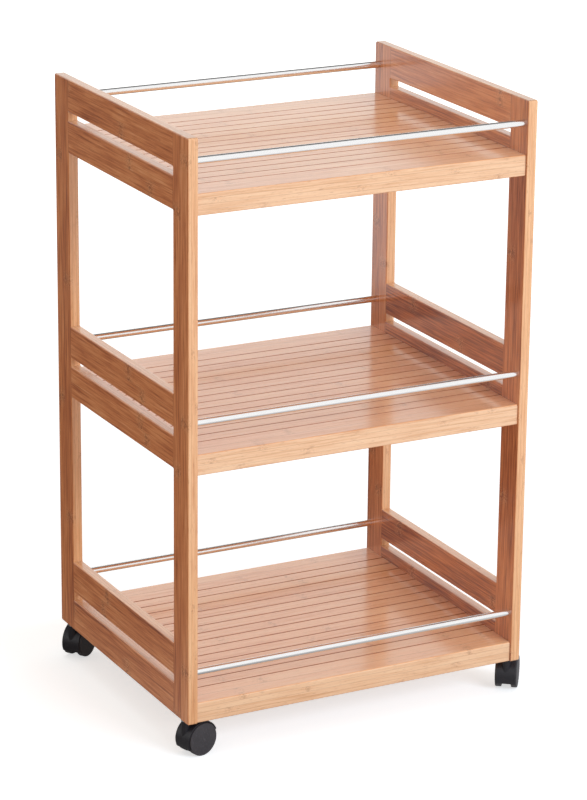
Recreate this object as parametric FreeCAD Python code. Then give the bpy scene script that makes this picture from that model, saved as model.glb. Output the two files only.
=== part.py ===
import FreeCAD, Part
import math
import os

# Three-tier rolling cart: two bamboo ladder frames carry three grooved bamboo shelves and
# six steel guard bars, and stand on four twin-wheel swivel casters.
# Millimetres, +Z up, -Y is the front. The origin is on the floor under the cart's middle.

os.makedirs("parts", exist_ok=True)

# Side frames
cart_width = 500.0
cart_depth = 410.0
tier_count = 3
tier_pitch = 340.0
stock_thickness = 14.0
stile_width = 44.0
rail_width = 44.0
finger_slot = 12.0
edge_radius = 1.5
corner_radius = 3.0

# Shelves
shelf_height = 28.0
shelf_recess = 3.0
shelf_edge_radius = 2.0
edge_rail_width = 23.0
panel_thickness = 12.0
end_batten_width = 20.0
strip_count = 15
groove_width = 2.4
groove_depth = 2.0
tongue_depth = 12.0
tongue_thickness = 4.0

# Guard bars
bar_diameter = 9.5
bar_rise = 41.0
bar_inset = 10.0
bar_seat_depth = 8.0
bar_chamfer = 0.5

# Hidden fixings
dowel_diameter = 6.0
dowel_end_gap = 2.0
dowel_spacing = 24.0
dowel_chamfer = 0.8
screw_diameter = 4.0
screw_head_diameter = 8.0
screw_head_height = 2.4
screw_recess_diameter = 3.0
screw_recess_depth = 1.4
screw_bite = 8.0
screw_end_gap = 26.0
screws_per_batten = 3
insert_wall = 1.0
insert_end_gap = 2.0

# Caster wheels and axle
wheel_radius = 22.5
wheel_width = 9.0
wheel_edge_radius = 1.2
wheel_dome = 0.7
wheel_rim_flat = 0.5
wheel_rim_wall = 3.5
wheel_plate = 2.5
hub_radius = 6.0
hub_stand_off = 0.25
axle_diameter = 6.0
axle_end_skin = 3.0
axle_end_gap = 0.25

# Caster hood and stem
caster_trail = 18.0
hood_wall = 1.6
hood_clearance = 0.8
hood_side_set_back = 2.25
hood_edge_radius = 0.6
hood_headroom = 4.6
hood_front_angle = 206.0
hood_back_angle = 20.0
web_clearance = 0.75
web_boss_radius = 8.0
boss_wall = 2.5
boss_floor_skin = 4.0
hex_across_flats = 12.0
hex_thickness = 2.0
stud_diameter = 8.0
stud_length = 28.0
pin_diameter = 7.0
pin_length = 27.6
tip_chamfer = 0.5
swivel_gap = 0.4

# How far each caster's axle is turned at rest, from +X towards the front, in degrees
front_left_swivel = 75.0
back_left_swivel = 55.0
front_right_swivel = 37.0
back_right_swivel = 48.0

# Fits and cuts
fit_gap = 0.05
end_relief = 0.5
overrun = 2.0
snap = 0.01

# Worked out from the sizes above
half_width = cart_width / 2
half_depth = cart_depth / 2
inner_half_width = half_width - stock_thickness
stile_inner_edge = half_depth - stile_width
stile_mid_x = half_width - stock_thickness / 2
stile_mid_y = half_depth - stile_width / 2
band_height = rail_width + finger_slot + rail_width
frame_height = (tier_count - 1) * tier_pitch + band_height
shelf_half_depth = half_depth - shelf_recess
panel_half_depth = shelf_half_depth - edge_rail_width
strip_pitch = 2 * panel_half_depth / strip_count
tongue_drop = (panel_thickness - tongue_thickness) / 2
batten_height = shelf_height - panel_thickness
bar_y = half_depth - bar_inset
insert_length = stud_length + insert_end_gap
insert_radius = stud_diameter / 2 + insert_wall
dowel_bite = stile_width / 2 - insert_radius - dowel_end_gap
screw_reach = stile_inner_edge - dowel_bite - screw_end_gap
hood_inner_radius = wheel_radius + hood_clearance
hood_outer_radius = hood_inner_radius + hood_wall
caster_height = wheel_radius + hood_outer_radius + hood_headroom
boss_radius = pin_diameter / 2 + boss_wall
boss_top = caster_height - hex_thickness - swivel_gap
pin_top = caster_height - hex_thickness
pin_floor = pin_top - pin_length
wheel_inner_x = boss_radius + web_clearance
wheel_outer_x = wheel_inner_x + wheel_width
hood_half_width = wheel_outer_x - hood_side_set_back
axle_half_length = wheel_outer_x - axle_end_skin - axle_end_gap
frame_bottom = caster_height
frame_top = frame_bottom + frame_height

tier_names = ("bottom", "middle", "top")[-tier_count:]
tiers = {name: frame_bottom + index * tier_pitch for index, name in enumerate(tier_names)}
rail_rises = {"lower_rail": 0, "upper_rail": rail_width + finger_slot}
sides = {"left": -1, "right": 1}
ends = {"front": -1, "back": 1}
swivel_angles = {
    "front_left": front_left_swivel,
    "back_left": back_left_swivel,
    "front_right": front_right_swivel,
    "back_right": back_right_swivel,
}


def vec(x, y, z):
    return FreeCAD.Vector(x, y, z)


ORIGIN = vec(0, 0, 0)
X_AXIS = vec(1, 0, 0)
Y_AXIS = vec(0, 1, 0)
Z_AXIS = vec(0, 0, 1)


def write(shape, node):
    """Save one node and print how many solids it has and its volume in cubic centimetres."""
    shape.exportStep("parts/" + node + ".step")
    print(node, len(shape.Solids), round(shape.Volume / 1000, 2))


def block(x_span, y_span, z_span):
    """A box from its lowest and highest place along each axis."""
    size = [high - low for low, high in (x_span, y_span, z_span)]
    return Part.makeBox(*size, vec(x_span[0], y_span[0], z_span[0]))


def rod(radius, start, end, chamfer=0):
    """A round rod from start to end, its ends chamfered if asked."""
    shape = Part.makeCylinder(radius, (end - start).Length, start, end - start)
    if chamfer:
        rims = [edge for edge in shape.Edges if isinstance(edge.Curve, Part.Circle)]
        shape = shape.makeChamfer(chamfer, rims)
    return shape


def line(start, end):
    return Part.LineSegment(start, end).toShape()


def arc(start, through, end):
    return Part.Arc(start, through, end).toShape()


def extrude(edges, run):
    """A solid from a closed chain of edges, pushed along a vector."""
    return Part.Face(Part.Wire(edges)).extrude(run)


def polygon(points):
    """The closed chain of straight edges through some points."""
    return [line(a, b) for a, b in zip(points, points[1:] + points[:1])]


def is_near(edge, axis, place):
    """True if both ends of an edge lie at one place along an axis."""
    return all(abs(vertex.Point.dot(axis) - place) < snap for vertex in edge.Vertexes)


def to_quadrant(shape, side, end):
    """Mirror a shape made in the right-hand back quadrant to its own side and end."""
    if side < 0:
        shape = shape.mirror(ORIGIN, X_AXIS)
    if end < 0:
        shape = shape.mirror(ORIGIN, Y_AXIS)
    return shape


def edge_rounder(x, y, toward_middle, z_span):
    """What a round-over takes off an upright edge at x, y, where the stock lies behind +Y."""
    r = edge_radius
    s = toward_middle
    turn = math.radians(45)
    centre = vec(x + s * r, y + r, z_span[0])
    flank = centre - X_AXIS * s * r
    front = centre - Y_AXIS * r
    through = centre - X_AXIS * s * r * math.cos(turn) - Y_AXIS * r * math.sin(turn)
    side_out = flank - X_AXIS * s * overrun
    corner_out = vec(x - s * overrun, y - overrun, z_span[0])
    front_out = front - Y_AXIS * overrun
    outline = [
        arc(flank, through, front),
        line(front, front_out),
        line(front_out, corner_out),
        line(corner_out, side_out),
        line(side_out, flank),
    ]
    return extrude(outline, Z_AXIS * (z_span[1] - z_span[0]))


def dowel_places():
    """Heights of all dowels in one rail-to-stile seam."""
    for floor in tiers.values():
        for rise in rail_rises.values():
            for step in (-1, 1):
                yield floor + rise + rail_width / 2 + step * dowel_spacing / 2


def free_spans():
    """Height ranges where the inner edge of a stile is bare."""
    floors = list(tiers.values())
    for floor in floors:
        yield floor + rail_width, floor + rail_width + finger_slot
    for lower, upper in zip(floors, floors[1:]):
        yield lower + band_height, upper


def stile():
    """The right-hand back stile, with its round-overs, dowel holes, bar seats and insert hole."""
    x0, x1 = inner_half_width, half_width
    y0, y1 = stile_inner_edge, half_depth
    z0, z1 = frame_bottom, frame_top
    shape = block((x0, x1), (y0, y1), (z0, z1))
    outer_corners = [
        edge for edge in shape.Edges
        if is_near(edge, Y_AXIS, y1) and (is_near(edge, Z_AXIS, z0) or is_near(edge, Z_AXIS, z1))
    ]
    shape = shape.makeFillet(corner_radius, outer_corners)
    rims = [
        edge for edge in shape.Edges
        if (is_near(edge, X_AXIS, x0) or is_near(edge, X_AXIS, x1)) and not is_near(edge, Y_AXIS, y0)
    ]
    shape = shape.makeFillet(edge_radius, rims)
    cuts = []
    for span in free_spans():
        cuts.append(edge_rounder(x0, y0, 1, span))
        cuts.append(edge_rounder(x1, y0, -1, span))
    for z in dowel_places():
        start = vec(stile_mid_x, y0 - overrun, z)
        end = vec(stile_mid_x, y0 + dowel_bite + end_relief, z)
        cuts.append(rod(dowel_diameter / 2 + fit_gap, start, end))
    for floor in tiers.values():
        start = vec(x0 - overrun, bar_y, floor + shelf_height + bar_rise)
        end = vec(x0 + bar_seat_depth, bar_y, floor + shelf_height + bar_rise)
        cuts.append(rod(bar_diameter / 2 + fit_gap, start, end))
    start = vec(stile_mid_x, stile_mid_y, z0 - overrun)
    end = vec(stile_mid_x, stile_mid_y, z0 + insert_length)
    cuts.append(rod(insert_radius + fit_gap, start, end))
    return shape.cut(cuts)


def screw_places():
    """Places of the screws along one batten."""
    for index in range(screws_per_batten):
        yield screw_reach * (2 * index / (screws_per_batten - 1) - 1)


def rail(floor, rise):
    """A right-hand rail of one tier, with its dowel holes, and screw holes in a lower rail."""
    z0 = floor + rise
    y_span = (-stile_inner_edge, stile_inner_edge)
    shape = block((inner_half_width, half_width), y_span, (z0, z0 + rail_width))
    long_edges = [edge for edge in shape.Edges if abs(edge.Length - 2 * stile_inner_edge) < snap]
    shape = shape.makeFillet(edge_radius, long_edges)
    cuts = []
    for step in (-1, 1):
        z = z0 + rail_width / 2 + step * dowel_spacing / 2
        for end in ends.values():
            mouth = vec(stile_mid_x, end * (stile_inner_edge + overrun), z)
            floor_point = vec(stile_mid_x, end * (stile_inner_edge - dowel_bite - end_relief), z)
            cuts.append(rod(dowel_diameter / 2 + fit_gap, mouth, floor_point))
    if rise == 0:
        for y in screw_places():
            mouth = vec(inner_half_width - overrun, y, floor + batten_height / 2)
            floor_point = vec(inner_half_width + screw_bite + end_relief, y, floor + batten_height / 2)
            cuts.append(rod(screw_diameter / 2 + fit_gap, mouth, floor_point))
    return shape.cut(cuts)


def grooves(top):
    """The grooves between a shelf's strips."""
    cutters = []
    for index in range(1, strip_count):
        y = index * strip_pitch - panel_half_depth
        outline = polygon([
            vec(-half_width, y - groove_width / 4, top - groove_depth),
            vec(-half_width, y + groove_width / 4, top - groove_depth),
            vec(-half_width, y + groove_width / 2, top),
            vec(-half_width, y + groove_width / 2, top + overrun),
            vec(-half_width, y - groove_width / 2, top + overrun),
            vec(-half_width, y - groove_width / 2, top),
        ])
        cutters.append(extrude(outline, X_AXIS * cart_width))
    return cutters


def shelf_panel(floor):
    """The grooved board, with a tongue along its front and back."""
    top = floor + shelf_height
    x_span = (-inner_half_width, inner_half_width)
    board = block(x_span, (-panel_half_depth, panel_half_depth), (top - panel_thickness, top))
    reach = panel_half_depth + tongue_depth
    tongue_top = top - tongue_drop
    tongue = block(x_span, (-reach, reach), (tongue_top - tongue_thickness, tongue_top))
    return board.fuse(tongue).cut(grooves(top))


def edge_rail(floor):
    """The back edge rail of a shelf, slotted for the panel's tongue."""
    x_span = (-inner_half_width, inner_half_width)
    top = floor + shelf_height
    shape = block(x_span, (panel_half_depth, shelf_half_depth), (floor, top))
    outer = [
        edge for edge in shape.Edges
        if is_near(edge, Y_AXIS, shelf_half_depth) and abs(edge.Length - 2 * inner_half_width) < snap
    ]
    shape = shape.makeFillet(shelf_edge_radius, outer)
    tongue_top = top - tongue_drop
    slot = block(
        (-half_width, half_width),
        (panel_half_depth - overrun, panel_half_depth + tongue_depth + fit_gap),
        (tongue_top - tongue_thickness - fit_gap, tongue_top + fit_gap),
    )
    return shape.cut(slot)


def screw(y, z, grow=0):
    """A countersunk screw through the right-hand batten, or the hole for it when grown."""
    head_x = inner_half_width - end_batten_width
    tip = vec(inner_half_width + screw_bite + grow, y, z)
    shank = rod(screw_diameter / 2 + grow, vec(head_x, y, z), tip)
    wide = screw_head_diameter / 2 + grow
    narrow = screw_diameter / 2 + grow
    head = Part.makeCone(wide, narrow, screw_head_height, vec(head_x, y, z), X_AXIS)
    return shank.fuse(head)


def end_batten(floor):
    """The right-hand batten under a shelf, screwed to the lower rail beside it."""
    x0 = inner_half_width - end_batten_width
    y_span = (-panel_half_depth, panel_half_depth)
    shape = block((x0, inner_half_width), y_span, (floor, floor + batten_height))
    eased = [edge for edge in shape.Edges if is_near(edge, X_AXIS, x0) and is_near(edge, Z_AXIS, floor)]
    shape = shape.makeFillet(edge_radius, eased)
    return shape.cut([screw(y, floor + batten_height / 2, fit_gap) for y in screw_places()])


def shelf_screws():
    """All the shelf screws, with their drive recesses."""
    made = []
    for floor in tiers.values():
        for y in screw_places():
            z = floor + batten_height / 2
            head = vec(inner_half_width - end_batten_width, y, z)
            recess = rod(screw_recess_diameter / 2, head, head + X_AXIS * screw_recess_depth)
            shape = screw(y, z).cut(recess)
            made += [to_quadrant(shape, side, 1) for side in sides.values()]
    return Part.makeCompound(made)


def frame_dowels():
    """All the dowels between rails and stiles."""
    made = []
    for z in dowel_places():
        start = vec(stile_mid_x, stile_inner_edge - dowel_bite, z)
        shape = rod(dowel_diameter / 2, start, start + Y_AXIS * 2 * dowel_bite, dowel_chamfer)
        made += [to_quadrant(shape, side, end) for side in sides.values() for end in ends.values()]
    return Part.makeCompound(made)


def caster_inserts():
    """The sleeves in the stiles' lower ends that take the caster studs."""
    foot = vec(stile_mid_x, stile_mid_y, frame_bottom)
    head = foot + Z_AXIS * insert_length
    sleeve = rod(insert_radius, foot, head).cut(rod(stud_diameter / 2 + fit_gap, foot, head))
    return Part.makeCompound(
        [to_quadrant(sleeve, side, end) for side in sides.values() for end in ends.values()]
    )


def guard_bar(floor):
    """The back guard bar of one tier, seated in the stiles at both ends."""
    reach = inner_half_width + bar_seat_depth - fit_gap
    z = floor + shelf_height + bar_rise
    return rod(bar_diameter / 2, vec(-reach, bar_y, z), vec(reach, bar_y, z), bar_chamfer)


def wheel_point(radius, degrees, x=0):
    """A point round the wheels' axis: 0 is behind, 90 above and 180 ahead of it."""
    angle = math.radians(degrees)
    y = caster_trail + radius * math.cos(angle)
    return vec(x, y, wheel_radius + radius * math.sin(angle))


def wheel_arc(radius, start, end, x):
    middle = wheel_point(radius, (start + end) / 2, x)
    return arc(wheel_point(radius, start, x), middle, wheel_point(radius, end, x))


def cross_rod(radius, half_length, chamfer=0):
    """A rod on the wheels' axis."""
    start = wheel_point(0, 0, -half_length)
    return rod(radius, start, wheel_point(0, 0, half_length), chamfer)


def caster_stem():
    """The threaded stud, its wrench hexagon and the swivel pin below it, drawn as plain rods."""
    foot = vec(0, 0, caster_height)
    stud = rod(stud_diameter / 2, foot, foot + Z_AXIS * stud_length, tip_chamfer)
    pin = rod(pin_diameter / 2, vec(0, 0, pin_floor), vec(0, 0, pin_top), tip_chamfer)
    core = rod(pin_diameter / 2, vec(0, 0, pin_top - tip_chamfer), foot + Z_AXIS * tip_chamfer)
    corner_radius_of_hex = hex_across_flats / 2 / math.cos(math.radians(30))
    points = []
    for index in range(6):
        angle = math.radians(60 * index + 30)
        x, y = corner_radius_of_hex * math.cos(angle), corner_radius_of_hex * math.sin(angle)
        points.append(vec(x, y, pin_top))
    nut = extrude(polygon(points), Z_AXIS * hex_thickness)
    return nut.fuse([stud, pin, core]).removeSplitter()


def caster_hood():
    """The hood over both wheels, the web between them and the swivel boss."""
    x = hood_half_width
    a, b = hood_back_angle, hood_front_angle
    inner, outer = hood_inner_radius, hood_outer_radius
    shell = extrude([
        wheel_arc(outer, a, b, -x),
        line(wheel_point(outer, b, -x), wheel_point(inner, b, -x)),
        wheel_arc(inner, b, a, -x),
        line(wheel_point(inner, a, -x), wheel_point(outer, a, -x)),
    ], X_AXIS * 2 * x)
    rims = [
        edge for edge in shell.Edges
        if isinstance(edge.Curve, Part.Circle) and abs(edge.Curve.Radius - outer) < snap
    ]
    shell = shell.makeFillet(hood_edge_radius, rims)
    into_shell = inner + hood_wall / 2
    web = extrude([
        wheel_arc(into_shell, a, b, -boss_radius),
        line(wheel_point(into_shell, b, -boss_radius), wheel_point(0, b, -boss_radius)),
        line(wheel_point(0, b, -boss_radius), wheel_point(into_shell, a, -boss_radius)),
    ], X_AXIS * 2 * boss_radius)
    axle_boss = cross_rod(web_boss_radius, boss_radius)
    boss = rod(boss_radius, vec(0, 0, pin_floor - boss_floor_skin), vec(0, 0, boss_top))
    bore = rod(pin_diameter / 2 + fit_gap, vec(0, 0, pin_floor - end_relief), vec(0, 0, boss_top + overrun))
    axle_bore = cross_rod(axle_diameter / 2 + fit_gap, half_width)
    return shell.fuse([web, axle_boss, boss]).cut([bore, axle_bore]).removeSplitter()


def caster_wheel():
    """The right-hand wheel: a cup with a tread, a domed cover and a hub on the axle."""
    r, e = wheel_radius, wheel_edge_radius
    flank_x = wheel_outer_x - wheel_dome
    dome_edge = r - e - wheel_rim_flat
    dome_circle = (dome_edge ** 2 + wheel_dome ** 2) / (2 * wheel_dome)
    half_dome = wheel_outer_x - dome_circle + math.sqrt(dome_circle ** 2 - (dome_edge / 2) ** 2)
    plate_x = flank_x - wheel_plate
    bore_x = wheel_outer_x - axle_end_skin
    bore_radius = axle_diameter / 2 + fit_gap
    hub_x = wheel_inner_x - hub_stand_off
    turn = math.sin(math.radians(45))

    def at(x, radius):
        return wheel_point(radius, 90, x)

    outline = [
        line(at(hub_x, bore_radius), at(hub_x, hub_radius)),
        line(at(hub_x, hub_radius), at(plate_x, hub_radius)),
        line(at(plate_x, hub_radius), at(plate_x, r - wheel_rim_wall)),
        line(at(plate_x, r - wheel_rim_wall), at(wheel_inner_x, r - wheel_rim_wall)),
        line(at(wheel_inner_x, r - wheel_rim_wall), at(wheel_inner_x, r - e)),
        arc(
            at(wheel_inner_x, r - e),
            at(wheel_inner_x + e - e * turn, r - e + e * turn),
            at(wheel_inner_x + e, r),
        ),
        line(at(wheel_inner_x + e, r), at(flank_x - e, r)),
        arc(at(flank_x - e, r), at(flank_x - e + e * turn, r - e + e * turn), at(flank_x, r - e)),
        line(at(flank_x, r - e), at(flank_x, dome_edge)),
        arc(at(flank_x, dome_edge), at(half_dome, dome_edge / 2), at(wheel_outer_x, 0)),
        line(at(wheel_outer_x, 0), at(bore_x, 0)),
        line(at(bore_x, 0), at(bore_x, bore_radius)),
        line(at(bore_x, bore_radius), at(hub_x, bore_radius)),
    ]
    return Part.Face(Part.Wire(outline)).revolve(wheel_point(0, 0), X_AXIS, 360)


def place_caster_piece(shape, corner, end, side):
    """Turn a caster piece about its swivel axis, and set it under its stile."""
    shape = shape.copy()
    shape.rotate(ORIGIN, Z_AXIS, -swivel_angles[corner])
    shape.translate(vec(side * stile_mid_x, end * stile_mid_y, 0))
    return shape


frame_stile = stile()
for side_name, side in sides.items():
    for end_name, end in ends.items():
        write(to_quadrant(frame_stile, side, end), f"{side_name}_{end_name}_stile")

for tier_name, floor in tiers.items():
    for rail_name, rise in rail_rises.items():
        shape = rail(floor, rise)
        for side_name, side in sides.items():
            write(to_quadrant(shape, side, 1), f"{side_name}_{tier_name}_{rail_name}")
    write(shelf_panel(floor), f"{tier_name}_shelf_panel")
    for end_name, end in ends.items():
        write(to_quadrant(edge_rail(floor), 1, end), f"{tier_name}_shelf_{end_name}_edge")
        write(to_quadrant(guard_bar(floor), 1, end), f"{tier_name}_{end_name}_bar")
    for side_name, side in sides.items():
        write(to_quadrant(end_batten(floor), side, 1), f"{tier_name}_shelf_{side_name}_batten")

write(frame_dowels(), "frame_dowels")
write(shelf_screws(), "shelf_screws")
write(caster_inserts(), "caster_inserts")

wheel = caster_wheel()
caster_pieces = {
    "stem": caster_stem(),
    "hood": caster_hood(),
    "axle": cross_rod(axle_diameter / 2, axle_half_length, tip_chamfer),
    "left_wheel": wheel.mirror(ORIGIN, X_AXIS),
    "right_wheel": wheel,
}
for end_name, end in ends.items():
    for side_name, side in sides.items():
        corner = f"{end_name}_{side_name}"
        for piece_name, shape in caster_pieces.items():
            node = f"{corner}_caster_{piece_name}"
            write(place_caster_piece(shape, corner, end, side), node)
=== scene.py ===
import math

import bpy
from mathutils import Matrix, Vector


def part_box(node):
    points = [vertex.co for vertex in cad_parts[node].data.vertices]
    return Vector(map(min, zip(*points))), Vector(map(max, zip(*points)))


# Rolling cart: bamboo ladder frames and grooved shelves, steel guard bars, black casters.
# Metres, +Z up, -Y is the front, the origin is on the floor under the cart's middle.

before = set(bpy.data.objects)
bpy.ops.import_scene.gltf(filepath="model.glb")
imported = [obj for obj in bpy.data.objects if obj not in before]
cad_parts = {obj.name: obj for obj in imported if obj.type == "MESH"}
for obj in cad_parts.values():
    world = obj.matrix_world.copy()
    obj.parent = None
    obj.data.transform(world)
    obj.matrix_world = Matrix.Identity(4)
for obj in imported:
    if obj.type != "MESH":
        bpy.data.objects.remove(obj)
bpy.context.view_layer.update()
scene = bpy.context.scene

# Camera: place in metres, angles in degrees, focal length in pixels of the picture
IMAGE_LONG_SIDE = 800
SENSOR_WIDTH = 36.0
CAMERA_PLACE = (-1.9209, -3.6874, 1.7664)
CAMERA_YAW = 27.589
CAMERA_PITCH = -18.189
CAMERA_ROLL = 0.593
FOCAL_PIXELS = 3245.2

# Plain colours
WHITE = (1.0, 1.0, 1.0)
BLACK = (0.0, 0.0, 0.0)

# Bamboo tones, from dark to light, and their places on the tone scale
TONE_PLACES = (0.00, 0.28, 0.52, 0.78, 1.00)
FRAME_FACE_TONES = (
    (0.270, 0.068, 0.021),
    (0.520, 0.168, 0.058),
    (0.700, 0.268, 0.105),
    (0.830, 0.375, 0.165),
    (0.900, 0.480, 0.255),
)
# Frame edge tones are paler: partly the side grain of the lamellas, partly a painted sheen on the lit
# edges
FRAME_EDGE_GRAIN_AND_SHEEN_TONES = (
    (0.460, 0.180, 0.070),
    (0.680, 0.340, 0.160),
    (0.800, 0.465, 0.250),
    (0.850, 0.550, 0.325),
    (0.880, 0.620, 0.410),
)
SHELF_TOP_TONES = (
    (0.540, 0.200, 0.076),
    (0.780, 0.370, 0.174),
    (0.900, 0.510, 0.280),
    (0.930, 0.590, 0.350),
    (0.950, 0.650, 0.430),
)
# Shelf edge tones are paler: partly side grain, partly a painted sheen on the lit front faces
SHELF_EDGE_GRAIN_AND_SHEEN_TONES = (
    (0.530, 0.240, 0.115),
    (0.720, 0.430, 0.250),
    (0.825, 0.555, 0.365),
    (0.870, 0.630, 0.440),
    (0.900, 0.690, 0.510),
)
FLECK_COLOUR = (0.880, 0.520, 0.290)
MARK_COLOUR = (0.230, 0.062, 0.022)
# Painted shade in the grooves between the shelf strips
GROOVE_PAINTED_SHADE_COLOUR = (0.380, 0.110, 0.038)

# Bamboo tone scale: its middle, its contrast, the share of each pattern, and painted shade on some
# members
TONE_MIDDLE = 0.52
FACE_CONTRAST = 0.82
PLAIN_CONTRAST = 0.50
LAMELLA_SHARE = 0.30
SLOW_SHARE = 0.80
STREAK_SHARE = 1.45
FIBRE_SHARE = 1.40
# Painted shade: the right frame's lower rails and front stile sit in shade, so their faces are darkened
PAINTED_SHADE_MEMBERS = {
    "right_middle": -0.26,
    "right_bottom": -0.26,
    "right_front_stile": -0.16,
}

# Bamboo noise: scales per metre along and across the grain
DRIFT_SCALES = (11.0, 30.0)
SLOW_SCALES = (7.0, 60.0)
STREAK_SCALES = (13.0, 300.0)
FIBRE_SCALES = (20.0, 900.0)
DASH_SCALES = (90.0, 1400.0)
WAVER_SCALES = (40.0, 220.0)
FLECK_SCALES = (450.0, 900.0)
BLOT_SCALES = (150.0, 260.0)
FIBRE_NOISE_ROUGHNESS = 0.6
DRIFT = 0.0016
LAMELLA_SCATTER = 40.0
SEED_START = 0.5

# Bamboo lamellas and lines, metres
STRIP_WIDTH = 0.0220
FRAME_PLY = 0.0047
SHELF_PLY = 0.0070
SKIN = 0.0007
PANEL_STRIPS = 15
GLUE_LINE = 0.0004
END_LINE = 0.0008
FAINT_LINE = 0.0005
# How far the painted groove shade reaches from a groove's middle
GROOVE_PAINTED_SHADE_REACH = (0.0012, 0.0014)
NO_GROOVE = 1.0

# Bamboo members: how a name ends, the axes of its length, width and thickness, and its ply
MEMBERS = (
    ("stile", (2, 1, 0), FRAME_PLY),
    ("rail", (1, 2, 0), FRAME_PLY),
    ("batten", (1, 0, 2), SHELF_PLY),
    (("panel", "edge"), (0, 1, 2), SHELF_PLY),
)
EDGE_FACING = (0.85, 0.40)

# Bamboo nodes: how far apart they are, how far they reach, and how they scatter and waver
NODE_MARK_PITCH = 0.340
NODE_MARK_REACH = 0.0085
NODE_HALO_REACH = 0.0190
NODE_SCATTER = 3.0
NODE_START = 7.0
NODE_WAVER = 0.035
PLAIN_NODES = 0.50

# Where the noise of each mark starts to show and shows fully, and how strong the mark is
LIGHT_FLECKS = (0.48, 0.62)
DARK_FLECKS = (0.50, 0.36)
BLOTS = (0.42, 0.66)
DASHES = (0.62, 0.72)
LIGHT_FLECK_STRENGTH = 0.55
DARK_FLECK_STRENGTH = 0.40
BLOT_STRENGTH = 0.58
DASH_STRENGTH = 0.30
GLUE_STRENGTH = 0.40
END_STRENGTH = 0.65
# Strength of the painted shade in the grooves
GROOVE_PAINTED_SHADE_STRENGTH = 0.90

# Bamboo surface
BAMBOO_ROUGHNESS = (0.27, 0.47)
FIBRE_HEIGHT = 0.6
BLOT_HEIGHT = 0.5
GLUE_HEIGHT = -0.4
BAMBOO_BUMP = 0.22
BAMBOO_BUMP_DEPTH = 0.0003
COAT_ROUGHNESS = 0.16
COAT_IOR = 1.60

# Metal, plastic and dowels: noise scales per metre, and how much they change the surface
FINE_BUMP_DEPTH = 0.0001
FINE_DETAIL = 3.0
METAL_SMUDGE_SCALE = 35.0
METAL_MARK_TINT = 0.3
METAL_MARK_DARKENING = 0.8
METAL_ROUGHNESS_SWING = 0.10
PLASTIC_GRAIN_SCALE = 2500.0
PLASTIC_DUST_SCALE = 90.0
PLASTIC_SCUFF_SCALE = (1500.0, 700.0, 260.0)
PLASTIC_SCUFFS = (0.52, 0.70)
PLASTIC_SCUFF_STRENGTH = 0.55
PLASTIC_DUST_LIFT = 1.6
PLASTIC_SCUFF_LIFT = 3.0
PLASTIC_BUMP = 0.2
PLASTIC_ROUGHNESS_SWING = 0.18

# Dowels
DOWEL_SCALE = (900.0, 40.0, 900.0)
DOWEL_DARK = (0.42, 0.27, 0.15)
DOWEL_LIGHT = (0.66, 0.47, 0.29)
DOWEL_ROUGHNESS = (0.5, 0.7)

# Floor: its half size, the colour it throws light back in, and the colour the camera sees
FLOOR_REACH = 20.0
FLOOR_BOUNCE = (0.78, 0.70, 0.62)
FLOOR_SEEN = (0.64, 0.72, 0.82)

# Floor's glow: seen, it grows with the distance from the cart; mirrored, it grows towards the front
FLOOR_FADE = (0.8, 4.0)
FLOOR_GLOW = (0.62, 1.0)
FLOOR_FRONT = (-1.0, 2.0)
FLOOR_MIRRORED = (0.05, 1.0)

# White card, metres
CARD_X = (-0.38, 2.00)
CARD_Y = 1.00
CARD_Z = (0.20, 1.20)

# World: its light, and the dim ceiling that gloss mirrors
WORLD_LIGHT = (0.61, 0.50, 0.40)
CEILING_RISE = (0.40, 0.50)
CEILING_BACK = (-0.15, 0.10)
CEILING_DIM = 0.15


def nodes_named(*words):
    """Names of the CAD nodes that end in one of some words."""
    return sorted(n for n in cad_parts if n.endswith(words))


def rgba(colour):
    return (*colour, 1.0)


def lift(colour, factor):
    """A colour made lighter or darker by a factor."""
    return rgba([channel * factor for channel in colour])


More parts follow.
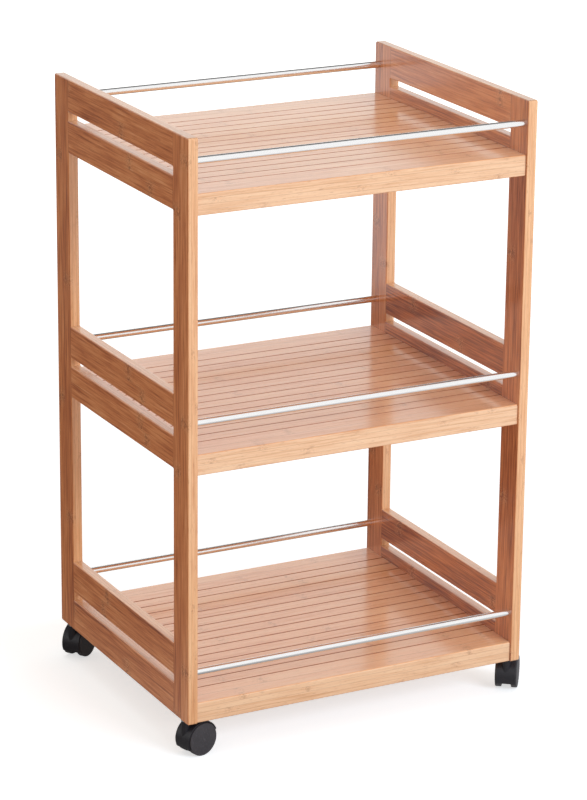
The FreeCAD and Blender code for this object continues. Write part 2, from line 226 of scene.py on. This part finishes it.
class Nodes:
    """A short way to add and join nodes in one node tree."""

    def __init__(self, tree):
        self.tree = tree

    def put(self, socket, value):
        """Link a socket to another one, or give it a plain value."""
        if isinstance(value, bpy.types.NodeSocket):
            self.tree.links.new(value, socket)
        else:
            socket.default_value = value

    def add(self, kind, inputs=None, **settings):
        node = self.tree.nodes.new(kind)
        for key, value in settings.items():
            setattr(node, key, value)
        for key, value in (inputs or {}).items():
            self.put(node.inputs[key], value)
        return node

    def math(self, operation, *values):
        return self.add("ShaderNodeMath", dict(enumerate(values)), operation=operation).outputs[0]

    def chain(self, operation, values):
        """Take up values one after another with the same operation."""
        result = values[0]
        for value in values[1:]:
            result = self.math(operation, result, value)
        return result

    def total(self, *values):
        return self.chain("ADD", values)

    def product(self, *values):
        return self.chain("MULTIPLY", values)

    def most(self, *values):
        return self.chain("MAXIMUM", values)

    def between(self, value, at_zero, at_one):
        """Turn a 0 to 1 value into one that runs between two others."""
        return self.math("MULTIPLY_ADD", value, at_one - at_zero, at_zero)

    def swing(self, value, amount):
        """Turn a 0 to 1 value into one round zero, from minus half to plus half of an amount."""
        return self.between(value, -amount / 2, amount / 2)

    def smooth(self, value, low, high, to_low=0.0, to_high=1.0):
        """A smooth step from one result to another while the value goes from low to high."""
        inputs = {"Value": value, "From Min": low, "From Max": high, "To Min": to_low, "To Max": to_high}
        return self.add("ShaderNodeMapRange", inputs, interpolation_type="SMOOTHSTEP").outputs["Result"]

    def line(self, distance, reach):
        """One where a distance is zero, fading to zero at the line's reach."""
        return self.smooth(distance, 0.0, reach, 1.0, 0.0)

    def to_border(self, cells, size):
        """How far away the nearest border between cells of some size is."""
        return self.product(self.math("PINGPONG", cells, 0.5), size)

    def mix_colour(self, factor, a, b):
        node = self.add("ShaderNodeMix", data_type="RGBA")
        for index, value in ((0, factor), (6, a), (7, b)):
            self.put(node.inputs[index], value)
        return node.outputs[2]

    def stain(self, colour, mask, strength, stain_colour):
        """Lay a plain colour over another one where a mask shows."""
        return self.mix_colour(self.product(mask, strength), colour, rgba(stain_colour))

    def combine(self, x, y, z):
        return self.add("ShaderNodeCombineXYZ", {0: x, 1: y, 2: z}).outputs[0]

    def separate(self, vector):
        return self.add("ShaderNodeSeparateXYZ", {0: vector}).outputs

    def coordinate(self, name):
        return self.add("ShaderNodeTexCoord").outputs[name]

    def noise(self, vector, detail=2.0, roughness=0.5):
        inputs = {"Vector": vector, "Scale": 1.0, "Detail": detail, "Roughness": roughness}
        return self.add("ShaderNodeTexNoise", inputs).outputs[0]

    def scaled(self, vector, scale):
        scale = scale if isinstance(scale, tuple) else (scale, scale, scale)
        return self.add("ShaderNodeVectorMath", {0: vector, 1: scale}, operation="MULTIPLY").outputs[0]

    def bump(self, height, strength, depth):
        inputs = {"Height": height, "Strength": strength, "Distance": depth}
        return self.add("ShaderNodeBump", inputs).outputs[0]

    def glow(self, strength):
        return self.add("ShaderNodeEmission", {"Color": rgba(WHITE), "Strength": strength}).outputs[0]

    def surface(self, shader):
        self.add("ShaderNodeOutputMaterial", {"Surface": shader})

    def principled(self, inputs):
        """A principled shader as the material's surface."""
        self.surface(self.add("ShaderNodeBsdfPrincipled", inputs).outputs[0])


def new_material(name):
    material = bpy.data.materials.new(name)
    material.use_nodes = True
    material.node_tree.nodes.clear()
    return material, Nodes(material.node_tree)


def paint(name, material):
    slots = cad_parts[name].data.materials
    slots.clear()
    slots.append(material)


def tone_colour(n, tone, tones):
    """The colour of a tone on one kind of surface."""
    ramp = n.add("ShaderNodeValToRGB", {0: tone})
    stops = ramp.color_ramp.elements
    for stop, index in ((stops[0], 0), (stops[1], -1)):
        stop.position = TONE_PLACES[index]
        stop.color = rgba(tones[index])
    for place, colour in list(zip(TONE_PLACES, tones))[1:-1]:
        stops.new(place).color = rgba(colour)
    return ramp.outputs[0]


def bamboo_group():
    """Laminated bamboo, in metres along the stock's own length, width and thickness.

    Strip and Ply are the sizes of its lamellas, End and Groove say how far the nearest ones are,
    Edge and Shelf choose the tones (the paler edge tones are partly side grain, partly a painted sheen),
    Shade moves the tone of the frames' faces, here a painted shade that darkens them, and near a groove
    the colour takes a painted shade.
    """
    names = ("Along", "Wide", "Thin", "Seed", "Strip", "Ply", "End", "Groove", "Edge", "Shelf", "Shade")
    tree = bpy.data.node_groups.new("laminated_bamboo", "ShaderNodeTree")
    for name in names:
        tree.interface.new_socket(name, in_out="INPUT", socket_type="NodeSocketFloat")
    tree.interface.new_socket("Colour", in_out="OUTPUT", socket_type="NodeSocketColor")
    for name in ("Roughness", "Height"):
        tree.interface.new_socket(name, in_out="OUTPUT", socket_type="NodeSocketFloat")
    n = Nodes(tree)
    given = n.add("NodeGroupInput").outputs
    along, wide, thin, seed, strip_size, ply_size, end, from_groove, edge, shelf, shade = (
        given[index] for index in range(len(names))
    )
    plain = n.most(edge, shelf)

    # Each lamella has its own tone, and its own place in the grain
    strip = n.math("DIVIDE", wide, strip_size)
    ply = n.math("DIVIDE", thin, ply_size)
    cell = n.combine(n.math("FLOOR", strip), n.math("FLOOR", ply), seed)
    chance = n.add("ShaderNodeTexWhiteNoise", {"Vector": cell}, noise_dimensions="3D").outputs
    picks = n.add("ShaderNodeSeparateColor", {0: chance["Color"]}).outputs
    far = n.product(chance["Value"], LAMELLA_SCATTER)

    drift = n.noise(n.combine(
        n.math("MULTIPLY_ADD", along, DRIFT_SCALES[0], far),
        n.product(wide, DRIFT_SCALES[1]),
        n.product(thin, DRIFT_SCALES[1]),
    ))
    drift = n.swing(drift, DRIFT)

    def grain(scales, detail=2.0, roughness=0.5):
        """Long noise that drifts a little to the side."""
        return n.noise(n.combine(
            n.math("MULTIPLY_ADD", along, scales[0], far),
            n.product(n.math("ADD", wide, drift), scales[1]),
            n.product(n.math("ADD", thin, drift), scales[1]),
        ), detail, roughness)

    def patches(scales, start, detail=2.0):
        """Straight noise that starts somewhere."""
        return n.noise(n.combine(
            n.product(along, scales[0]),
            n.product(wide, scales[1]),
            n.math("MULTIPLY_ADD", thin, scales[1], start),
        ), detail)

    fibres = grain(FIBRE_SCALES, roughness=FIBRE_NOISE_ROUGHNESS)
    tone = n.total(
        n.swing(picks[0], LAMELLA_SHARE),
        n.swing(grain(SLOW_SCALES), SLOW_SHARE),
        n.swing(grain(STREAK_SCALES), STREAK_SHARE),
        n.swing(fibres, FIBRE_SHARE),
    )
    tone = n.math("MULTIPLY_ADD", tone, n.between(plain, FACE_CONTRAST, PLAIN_CONTRAST), TONE_MIDDLE)
    # Painted shade: members given a shade get a darker tone on their faces, standing in for the shade
    # they sit in
    tone = n.math("ADD", tone, n.product(shade, n.math("SUBTRACT", 1.0, plain)))
    # Faces and edges take their own tones; the paler edge tones carry a painted sheen besides the side
    # grain
    frame_colour = n.mix_colour(
        edge, tone_colour(n, tone, FRAME_FACE_TONES), tone_colour(n, tone, FRAME_EDGE_GRAIN_AND_SHEEN_TONES)
    )
    shelf_colour = n.mix_colour(
        edge, tone_colour(n, tone, SHELF_TOP_TONES), tone_colour(n, tone, SHELF_EDGE_GRAIN_AND_SHEEN_TONES)
    )
    colour = n.mix_colour(shelf, frame_colour, shelf_colour)

    # Nodes: flecks round them, and blots in their cores
    waver = n.swing(patches(WAVER_SCALES, far), NODE_WAVER)
    scatter = n.product(picks[1], NODE_SCATTER)
    place = n.total(n.math("DIVIDE", along, NODE_MARK_PITCH), scatter, NODE_START, waver)
    off = n.math("ABSOLUTE", n.math("SUBTRACT", n.math("FRACT", place), 0.5))
    off = n.product(off, NODE_MARK_PITCH)
    flecks = patches(FLECK_SCALES, 0.0, detail=1.0)
    blots = patches(BLOT_SCALES, far)
    faint = n.between(plain, 1.0, PLAIN_NODES)
    near = n.product(n.line(off, NODE_HALO_REACH), faint)
    core = n.product(n.line(off, NODE_MARK_REACH), n.smooth(blots, *BLOTS), faint)
    light_flecks = n.product(near, n.smooth(flecks, *LIGHT_FLECKS))
    dark_flecks = n.product(near, n.smooth(flecks, *DARK_FLECKS))
    colour = n.stain(colour, light_flecks, LIGHT_FLECK_STRENGTH, FLECK_COLOUR)
    colour = n.stain(colour, dark_flecks, DARK_FLECK_STRENGTH, MARK_COLOUR)
    colour = n.stain(colour, core, BLOT_STRENGTH, MARK_COLOUR)
    dashes = n.smooth(grain(DASH_SCALES, detail=1.0), *DASHES)
    colour = n.stain(colour, dashes, DASH_STRENGTH, MARK_COLOUR)

    # Lines: glue between lamellas, joints at the ends, and painted shade in the grooves between strips
    glue = n.most(
        n.line(n.to_border(strip, strip_size), GLUE_LINE),
        n.line(n.to_border(ply, ply_size), GLUE_LINE),
    )
    colour = n.stain(colour, glue, GLUE_STRENGTH, MARK_COLOUR)
    colour = n.stain(colour, n.line(end, END_LINE), END_STRENGTH, MARK_COLOUR)
    # Painted shade: the colour darkens in and just beside each groove, where shade falls
    groove_shade_mask = n.smooth(from_groove, *GROOVE_PAINTED_SHADE_REACH, 1.0, 0.0)
    colour = n.stain(colour, groove_shade_mask, GROOVE_PAINTED_SHADE_STRENGTH, GROOVE_PAINTED_SHADE_COLOUR)

    roughness = n.between(fibres, *BAMBOO_ROUGHNESS)
    height = n.total(
        n.product(fibres, FIBRE_HEIGHT), n.product(core, BLOT_HEIGHT), n.product(glue, GLUE_HEIGHT)
    )
    n.add("NodeGroupOutput", {"Colour": colour, "Roughness": roughness, "Height": height})
    return tree


def lamellas(length, size):
    """How far apart the glue lines are when whole lamellas fill a length, with a skin at both faces."""
    return (length + 2 * SKIN) / max(1, round(length / size))


def bamboo_material(name, group, seed):
    """Bamboo for one member, measured from its lowest corner along its length, width and thickness."""
    material, n = new_material("bamboo_" + name)
    low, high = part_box(name)
    size = high - low
    axes, ply_size = next((axes, ply) for ending, axes, ply in MEMBERS if name.endswith(ending))
    length, width, thickness = (size[axis] for axis in axes)
    parts = n.separate(n.coordinate("Object"))
    along, wide, thin = (n.math("SUBTRACT", parts[axis], low[axis]) for axis in axes)
    past_end = n.math("SUBTRACT", along, length)
    end = n.math("MINIMUM", n.math("ABSOLUTE", along), n.math("ABSOLUTE", past_end))
    if name.endswith("stile"):
        end = n.math("MAXIMUM", end, FAINT_LINE)
    wide = n.math("ADD", wide, SKIN)
    thin = n.math("ADD", thin, SKIN)
    strip = lamellas(width, STRIP_WIDTH)
    ply = lamellas(thickness, ply_size)
    from_groove = NO_GROOVE
    if name.endswith("panel"):
        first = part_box(name.replace("panel", "front_edge"))[1][1]
        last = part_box(name.replace("panel", "back_edge"))[0][1]
        strip = (last - first) / PANEL_STRIPS
        wide = n.math("SUBTRACT", parts[1], first)
        from_groove = n.to_border(n.math("DIVIDE", wide, strip), strip)
        # The painted groove shade is kept off the seams with the edge pieces, which get a faint line
        # instead
        seam = n.math("MINIMUM", wide, n.math("SUBTRACT", last - first, wide))
        from_groove = n.math("MAXIMUM", from_groove, n.math("SUBTRACT", strip / 2, seam))
        end = n.math("MINIMUM", end, n.math("MAXIMUM", seam, FAINT_LINE))
    elif name.endswith("edge"):
        inner_side = high[1] if "front" in name else low[1]
        seam = n.math("ABSOLUTE", n.math("SUBTRACT", parts[1], inner_side))
        end = n.math("MINIMUM", end, n.math("MAXIMUM", seam, FAINT_LINE))
    # Surfaces not facing along the thickness take the paler edge tones, partly side grain, partly a
    # painted sheen
    facing = n.separate(n.coordinate("Normal"))
    face_axis, shelf = (0, 0.0) if name.endswith(("stile", "rail")) else (2, 1.0)
    edge = n.smooth(n.math("ABSOLUTE", facing[face_axis]), *EDGE_FACING)
    # Painted shade for the right frame's lower rails and front stile, which sit in shade
    shade = next((value for start, value in PAINTED_SHADE_MEMBERS.items() if name.startswith(start)), 0.0)
    bamboo = n.add("ShaderNodeGroup", node_tree=group)
    values = (along, wide, thin, seed, strip, ply, end, from_groove, edge, shelf, shade)
    for socket, value in zip(bamboo.inputs, values):
        n.put(socket, value)
    n.principled({
        "Base Color": bamboo.outputs["Colour"],
        "Roughness": bamboo.outputs["Roughness"],
        "Normal": n.bump(bamboo.outputs["Height"], BAMBOO_BUMP, BAMBOO_BUMP_DEPTH),
        "Coat Weight": 1.0,
        "Coat Roughness": COAT_ROUGHNESS,
        "Coat IOR": COAT_IOR,
    })
    return material


def dress_bamboo():
    group = bamboo_group()
    for index, name in enumerate(nodes_named("stile", "rail", "panel", "edge", "batten")):
        paint(name, bamboo_material(name, group, index + SEED_START))


def metal(name, colour, roughness, mark_scale, mark_strength):
    """Steel with fine marks: mark_scale is how close they lie along X, Y and Z."""
    material, n = new_material(name)
    place = n.coordinate("Object")
    marks = n.noise(n.scaled(place, mark_scale))
    smudge = n.noise(n.scaled(place, METAL_SMUDGE_SCALE), FINE_DETAIL)
    n.principled({
        "Base Color": n.mix_colour(
            n.product(marks, METAL_MARK_TINT), rgba(colour), lift(colour, METAL_MARK_DARKENING)
        ),
        "Metallic": 1.0,
        "Roughness": n.total(
            n.swing(marks, METAL_ROUGHNESS_SWING), n.swing(smudge, METAL_ROUGHNESS_SWING), roughness
        ),
        "Normal": n.bump(marks, mark_strength, FINE_BUMP_DEPTH),
    })
    return material


def plastic(name, colour, roughness):
    """Black moulded plastic with a fine grain, faint dust and scuffs."""
    material, n = new_material(name)
    place = n.coordinate("Object")
    fine = n.noise(n.scaled(place, PLASTIC_GRAIN_SCALE))
    broad = n.noise(n.scaled(place, PLASTIC_DUST_SCALE), FINE_DETAIL)
    scuffs = n.smooth(n.noise(n.scaled(place, PLASTIC_SCUFF_SCALE), FINE_DETAIL), *PLASTIC_SCUFFS)
    dusty = n.mix_colour(broad, rgba(colour), lift(colour, PLASTIC_DUST_LIFT))
    scuffed = n.mix_colour(
        n.product(scuffs, PLASTIC_SCUFF_STRENGTH), dusty, lift(colour, PLASTIC_SCUFF_LIFT)
    )
    n.principled({
        "Base Color": scuffed,
        "Roughness": n.total(n.swing(broad, PLASTIC_ROUGHNESS_SWING), roughness),
        "Normal": n.bump(fine, PLASTIC_BUMP, FINE_BUMP_DEPTH),
    })
    return material


def dowel_wood():
    """Plain turned hardwood for the dowels inside the seams."""
    material, n = new_material("dowel_wood")
    rings = n.noise(n.scaled(n.coordinate("Object"), DOWEL_SCALE), FINE_DETAIL)
    n.principled({
        "Base Color": n.mix_colour(rings, rgba(DOWEL_DARK), rgba(DOWEL_LIGHT)),
        "Roughness": n.between(rings, *DOWEL_ROUGHNESS),
    })
    return material


def dress_metal_and_plastic():
    bar_steel = metal(
        "bar_steel",
        colour=(0.95, 0.95, 0.95),
        roughness=0.20,
        mark_scale=(60.0, 3500.0, 3500.0),
        mark_strength=0.10,
    )
    zinc_steel = metal(
        "zinc_steel",
        colour=(0.62, 0.62, 0.60),
        roughness=0.32,
        mark_scale=(900.0, 900.0, 900.0),
        mark_strength=0.2,
    )
    finishes = (
        (("_bar",), bar_steel),
        (("_stem", "_axle", "screws", "inserts"), zinc_steel),
        (("_hood",), plastic("hood_plastic", colour=(0.0095, 0.0095, 0.0145), roughness=0.42)),
        (("_wheel",), plastic("wheel_plastic", colour=(0.0310, 0.0310, 0.0390), roughness=0.46)),
        (("frame_dowels",), dowel_wood()),
    )
    for words, material in finishes:
        for name in nodes_named(*words):
            paint(name, material)


def add_camera():
    yaw, pitch, roll = (math.radians(a) for a in (CAMERA_YAW, CAMERA_PITCH, CAMERA_ROLL))
    forward = Vector((math.sin(yaw) * math.cos(pitch), math.cos(yaw) * math.cos(pitch), math.sin(pitch)))
    level = Vector((math.cos(yaw), -math.sin(yaw), 0))
    above = level.cross(forward)
    right = level * math.cos(roll) + above * math.sin(roll)
    up = above * math.cos(roll) - level * math.sin(roll)
    data = bpy.data.cameras.new("camera")
    data.sensor_width = SENSOR_WIDTH
    data.lens = FOCAL_PIXELS / IMAGE_LONG_SIDE * SENSOR_WIDTH
    camera = bpy.data.objects.new("camera", data)
    turn = Matrix((right, up, -forward)).transposed().to_4x4()
    camera.matrix_world = Matrix.Translation(CAMERA_PLACE) @ turn
    scene.collection.objects.link(camera)
    scene.camera = camera


def add_area_light(name, place, aim, size, power, colour):
    """A soft lamp that gloss doesn't mirror, so that edges and grooves carry no hot lines."""
    data = bpy.data.lights.new(name, "AREA")
    data.shape = "RECTANGLE"
    data.size, data.size_y = size
    data.energy = power
    data.color = colour
    light = bpy.data.objects.new(name, data)
    light.location = place
    light.rotation_mode = "QUATERNION"
    light.rotation_quaternion = (Vector(aim) - Vector(place)).to_track_quat("-Z", "Y")
    light.visible_glossy = False
    scene.collection.objects.link(light)


def add_lights():
    add_area_light(
        "key",
        place=(1.4, -4.0, 2.4),
        aim=(0, 0, 0.4),
        size=(2.4, 1.8),
        power=119.6,
        colour=(0.904, 0.962, 1.0),
    )
    add_area_light(
        "top",
        place=(-0.2, 0.3, 3.4),
        aim=(0, 0, 0),
        size=(2.4, 2.4),
        power=12.0,
        colour=WHITE,
    )


def add_world():
    """Soft warm light all round; looked at it is white, and mirrored it has a dim ceiling at the back."""
    world = bpy.data.worlds.new("studio")
    scene.world = world
    world.use_nodes = True
    world.node_tree.nodes.clear()
    n = Nodes(world.node_tree)
    path = n.add("ShaderNodeLightPath").outputs
    looked_at = n.most(path["Is Camera Ray"], path["Is Transmission Ray"])
    direct = n.most(looked_at, path["Is Glossy Ray"])
    parts = n.separate(n.coordinate("Generated"))
    ceiling = n.product(n.smooth(parts[2], *CEILING_RISE), n.smooth(parts[1], *CEILING_BACK))
    mirrored = n.product(path["Is Glossy Ray"], n.between(ceiling, 1.0, CEILING_DIM))
    strength = n.math("ADD", n.math("SUBTRACT", 1.0, direct), n.most(looked_at, mirrored))
    colour = n.mix_colour(direct, rgba(WORLD_LIGHT), rgba(WHITE))
    shade = n.add("ShaderNodeBackground", {"Color": colour, "Strength": strength})
    n.add("ShaderNodeOutputWorld", {"Surface": shade.outputs[0]})


def flat_piece(name, corners, material):
    """A flat piece of the stage with four corners."""
    mesh = bpy.data.meshes.new(name)
    mesh.from_pydata(corners, [], [(0, 1, 2, 3)])
    mesh.materials.append(material)
    piece = bpy.data.objects.new(name, mesh)
    scene.collection.objects.link(piece)
    return piece


def add_floor():
    """A white floor that keeps the shadow; the camera sees extra white in it, as a plain background."""
    material, n = new_material("floor_white")
    path = n.add("ShaderNodeLightPath").outputs
    place = n.coordinate("Object")
    away = n.add("ShaderNodeVectorMath", {0: place}, operation="LENGTH").outputs["Value"]
    parts = n.separate(place)
    at_front = n.smooth(n.math("SUBTRACT", parts[0], parts[1]), *FLOOR_FRONT)
    seen = n.product(path["Is Camera Ray"], n.smooth(away, *FLOOR_FADE, *FLOOR_GLOW))
    mirrored = n.product(path["Is Glossy Ray"], n.between(at_front, *FLOOR_MIRRORED))
    colour = n.mix_colour(path["Is Camera Ray"], rgba(FLOOR_BOUNCE), rgba(FLOOR_SEEN))
    colour = n.mix_colour(path["Is Glossy Ray"], colour, rgba(BLACK))
    matt = n.add("ShaderNodeBsdfDiffuse", {"Color": colour}).outputs[0]
    n.surface(n.add("ShaderNodeAddShader", {0: matt, 1: n.glow(n.total(seen, mirrored))}).outputs[0])
    r = FLOOR_REACH
    floor = flat_piece("floor", [(-r, -r, 0), (r, -r, 0), (r, r, 0), (-r, r, 0)], material)


def add_card():
    """A white card behind the cart that only reflections show: the inner faces at the back mirror it."""
    material, n = new_material("card_white")
    n.surface(n.glow(1.0))
    (left, right), y, (low, high) = CARD_X, CARD_Y, CARD_Z
    corners = [(left, y, low), (right, y, low), (right, y, high), (left, y, high)]
    card = flat_piece("card", corners, material)
    card.visible_camera = False
    card.visible_diffuse = False
    card.visible_transmission = False
    card.visible_shadow = False


dress_bamboo()
dress_metal_and_plastic()
add_camera()
add_world()
add_lights()
add_floor()
add_card()
scene.view_settings.view_transform = "Standard"
